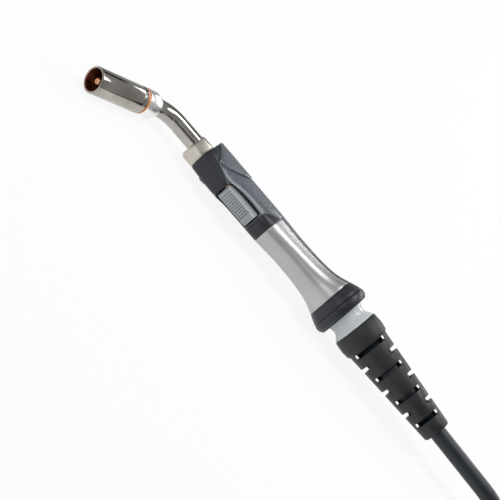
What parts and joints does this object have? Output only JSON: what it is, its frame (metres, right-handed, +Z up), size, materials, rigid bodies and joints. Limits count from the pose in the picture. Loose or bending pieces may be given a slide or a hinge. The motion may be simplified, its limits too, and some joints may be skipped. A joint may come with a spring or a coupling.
{
  "type": "mig welding torch",
  "caption": "Gas-cooled MIG welding torch with a bent swan neck, trigger handle, ball-jointed slotted boot and a cable ending in a central connector.",
  "frame": {"origin": "middle of the torch without its free cable, on the floor it lies on", "axes": "+X from the nozzle toward the cable, +Y away from the trigger, +Z up, with the torch lying on its side"},
  "size_m": [0.9128, 0.166, 0.0808],
  "materials": {
    "nickel": "bright nickel plate",
    "satin_nickel": "satin nickel plate",
    "orange_insulator": "heat-resistant moulding",
    "brass": "turned",
    "copper": "copper alloy, turned",
    "charcoal": "fine matt moulding",
    "blue_grey": "gloss moulding",
    "silver_grip": "satin metallic moulding",
    "trigger_grey": "satin moulding",
    "pale": "acetal moulding",
    "steel": "zinc plated",
    "black_switch": "moulding",
    "boot_rubber": "soft moulding",
    "cable_jacket": "extruded jacket"
  },
  "bodies": {
    "cable_set": {"cable_boot": "boot_rubber", "cable": "cable_jacket", "cable_coil": "cable_jacket", "coil_strap_0": "black_switch", "coil_strap_1": "black_switch", "cable_tail": "cable_jacket", "connector_sleeve": "boot_rubber", "connector_housing": "charcoal", "connector_plug": "brass", "gas_nipple": "brass", "liner_nut": "steel"},
    "ball": {"ball_collar": "pale"},
    "handle": {"handle_housing": "blue_grey", "handle_nose": "charcoal", "handle_lower_shell": "charcoal", "top_cover": "blue_grey", "soft_grip": "silver_grip", "end_band": "charcoal", "end_cap": "charcoal", "ball_liner": "pale", "neck_coupling": "brass", "cable_ferrule": "copper", "inner_cable": "cable_jacket", "microswitch": "black_switch", "trigger_pin": "steel", "housing_screw_0": "steel", "housing_screw_1": "steel", "neck_key_block": "satin_nickel", "swan_neck": "nickel", "nozzle_collar": "nickel", "nozzle_seal_ring": "orange_insulator", "gas_diffuser": "brass", "tip_holder": "brass", "contact_tip": "copper"},
    "trigger": {"trigger": "trigger_grey", "trigger_spring": "steel"},
    "plunger": {"switch_plunger": "orange_insulator"},
    "nozzle": {"gas_nozzle": "nickel"},
    "hand_nut": {"connector_nut": "charcoal"},
    "control_pin_0": {"control_pin_0": "brass"},
    "control_pin_1": {"control_pin_1": "brass"}
  },
  "joints": [
    {"name": "cable_swivel", "type": "hinge", "parent": "cable_set", "child": "ball", "pos_m": [0.0869, 0.03209, 0.0289], "axis": [1, 0, 0.0075], "range_deg": [-180, 180]},
    {"name": "ball_tilt", "type": "hinge", "parent": "ball", "child": "handle", "pos_m": [0.0869, 0.03209, 0.0289], "axis": [-0.0493, 0, 0.9988], "range_deg": [-10, 10]},
    {"name": "trigger_press", "type": "hinge", "parent": "handle", "child": "trigger", "pos_m": [-0.06791, 0.01559, 0.02125], "axis": [-0.0493, 0, 0.9988], "range_deg": [0, 3], "stiffness_Nm_per_rad": 1.5, "springref_deg": -2.86},
    {"name": "plunger_slide", "type": "slide", "parent": "handle", "child": "plunger", "axis": [0, 1, 0], "range_m": [0, 0.0016]},
    {"name": "nozzle_pull", "type": "slide", "parent": "handle", "child": "nozzle", "axis": [-0.6149, -0.788, -0.0304], "range_m": [0, 0.03]},
    {"name": "nut_spin", "type": "hinge", "parent": "cable_set", "child": "hand_nut", "pos_m": [0.52004, 0.05059, 0.0583], "axis": [1, 0, 0], "continuous": true},
    {"name": "control_pin_0_press", "type": "slide", "parent": "cable_set", "child": "control_pin_0", "axis": [-1, 0, 0], "range_m": [0, 0.003], "stiffness_N_per_m": 400, "springref_m": -0.002},
    {"name": "control_pin_1_press", "type": "slide", "parent": "cable_set", "child": "control_pin_1", "axis": [-1, 0, 0], "range_m": [0, 0.003], "stiffness_N_per_m": 400, "springref_m": -0.002}
  ],
  "couplings": [
    {"joint": "plunger_slide", "follows": "trigger_press", "m_per_rad": 0.0305}
  ]
}
